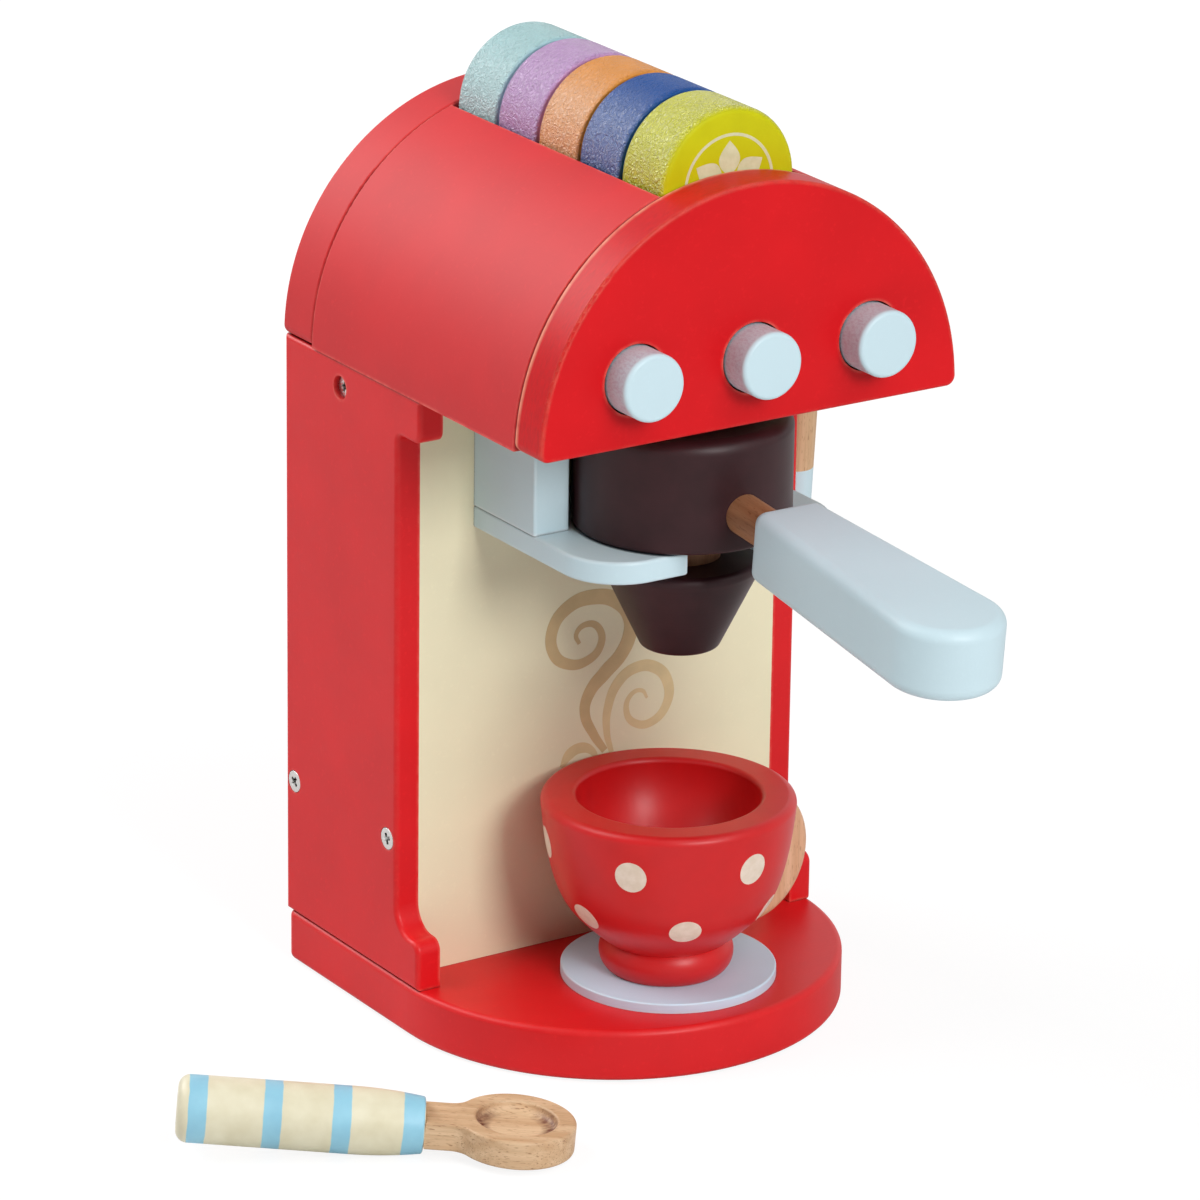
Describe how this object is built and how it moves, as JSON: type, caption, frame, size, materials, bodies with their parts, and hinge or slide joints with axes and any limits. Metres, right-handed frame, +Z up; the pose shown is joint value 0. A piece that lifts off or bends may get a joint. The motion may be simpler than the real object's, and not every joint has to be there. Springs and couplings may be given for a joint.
{
  "type": "toy coffee maker",
  "caption": "Wooden toy espresso machine with lift-out capsules, push buttons, a pull-out brew handle, a swinging wand, a cup on a drip disc and a spoon.",
  "frame": {"origin": "on the underside of the base, at the centre of its half-round front, on the machine's middle plane", "axes": "+X to the right as seen from the front, +Y to the back, +Z up"},
  "size_m": [0.2583, 0.2542, 0.2905],
  "materials": {
    "red_paint": "satin paint on wood",
    "cream_paint": "satin paint on wood",
    "pale_blue_paint": "satin paint on wood",
    "brown_paint": "satin paint on wood",
    "grey_blue_paint": "satin paint on wood",
    "lime_paint": "pearly paint on wood",
    "blue_paint": "pearly paint on wood",
    "orange_paint": "pearly paint on wood",
    "lilac_paint": "pearly paint on wood",
    "aqua_paint": "pearly paint on wood",
    "striped_paint": "satin cream paint with light blue bands on wood",
    "bare_wood": "lightly oiled beech",
    "inner_wood": "bare wood, sanded",
    "screw_steel": "zinc plated",
    "spring_steel": "drawn wire"
  },
  "bodies": {
    "machine": {"backing_bar": "inner_wood", "base": "red_paint", "base_screws": "screw_steel", "block_pegs": "inner_wood", "button_spring_left": "spring_steel", "button_spring_middle": "spring_steel", "button_spring_right": "spring_steel", "collar": "pale_blue_paint", "collar_block_left": "pale_blue_paint", "collar_block_right": "pale_blue_paint", "drip_disc": "grey_blue_paint", "head_back": "red_paint", "head_floor": "inner_wood", "head_front": "red_paint", "head_screws": "screw_steel", "rear_board": "red_paint", "shell_left": "red_paint", "shell_right": "red_paint", "side_left": "red_paint", "side_right": "red_paint", "side_screws_left": "screw_steel", "side_screws_right": "screw_steel", "splash_board": "cream_paint", "top_rail": "inner_wood", "trough_floor": "inner_wood", "trough_wall_left": "inner_wood", "trough_wall_right": "inner_wood", "wand_screw": "screw_steel", "wand_washer": "screw_steel"},
    "button_left": {"button_left": "pale_blue_paint"},
    "button_middle": {"button_middle": "pale_blue_paint"},
    "button_right": {"button_right": "pale_blue_paint"},
    "capsule_lime": {"capsule_lime": "lime_paint"},
    "capsule_blue": {"capsule_blue": "blue_paint"},
    "capsule_orange": {"capsule_orange": "orange_paint"},
    "capsule_lilac": {"capsule_lilac": "lilac_paint"},
    "capsule_aqua": {"capsule_aqua": "aqua_paint"},
    "neck": {"brew_neck": "bare_wood"},
    "brew_group": {"brew_drum": "brown_paint", "spout_cone": "brown_paint", "handle_dowel": "bare_wood", "brew_handle": "pale_blue_paint"},
    "cup": {"cup": "red_paint", "cup_handle": "bare_wood"},
    "wand": {"wand": "bare_wood"},
    "spoon": {"spoon_handle": "striped_paint", "spoon_blade": "bare_wood"}
  },
  "joints": [
    {"name": "press_button_left", "type": "slide", "parent": "machine", "child": "button_left", "axis": [0, 1, 0], "range_m": [0, 0.006], "stiffness_N_per_m": 150, "springref_m": -0.01, "deforming": ["button_spring_left"]},
    {"name": "press_button_middle", "type": "slide", "parent": "machine", "child": "button_middle", "axis": [0, 1, 0], "range_m": [0, 0.006], "stiffness_N_per_m": 150, "springref_m": -0.01, "deforming": ["button_spring_middle"]},
    {"name": "press_button_right", "type": "slide", "parent": "machine", "child": "button_right", "axis": [0, 1, 0], "range_m": [0, 0.006], "stiffness_N_per_m": 150, "springref_m": -0.01, "deforming": ["button_spring_right"]},
    {"name": "lift_capsule_lime", "type": "slide", "parent": "machine", "child": "capsule_lime", "axis": [0, 0, 1], "range_m": [0, 0.05]},
    {"name": "lift_capsule_blue", "type": "slide", "parent": "machine", "child": "capsule_blue", "axis": [0, 0, 1], "range_m": [0, 0.05]},
    {"name": "lift_capsule_orange", "type": "slide", "parent": "machine", "child": "capsule_orange", "axis": [0, 0, 1], "range_m": [0, 0.05]},
    {"name": "lift_capsule_lilac", "type": "slide", "parent": "machine", "child": "capsule_lilac", "axis": [0, 0, 1], "range_m": [0, 0.05]},
    {"name": "lift_capsule_aqua", "type": "slide", "parent": "machine", "child": "capsule_aqua", "axis": [0, 0, 1], "range_m": [0, 0.05]},
    {"name": "pull_out_brew_handle", "type": "slide", "parent": "machine", "child": "neck", "axis": [0, -1, 0], "range_m": [0, 0.06]},
    {"name": "turn_brew_handle", "type": "hinge", "parent": "neck", "child": "brew_group", "pos_m": [0, -0.036, 0.16], "axis": [0, 0, 1], "range_deg": [-94, 94]},
    {"name": "lift_cup", "type": "slide", "parent": "machine", "child": "cup", "axis": [0, 0, 1], "range_m": [0, 0.045]},
    {"name": "swing_wand", "type": "hinge", "parent": "machine", "child": "wand", "pos_m": [0.0783, 0.0168, 0.188], "axis": [-1, 0, 0], "range_deg": [-90, 40]},
    {"name": "lift_spoon", "type": "slide", "parent": "machine", "child": "spoon", "axis": [0, 0, 1], "range_m": [0, 0.1]}
  ]
}
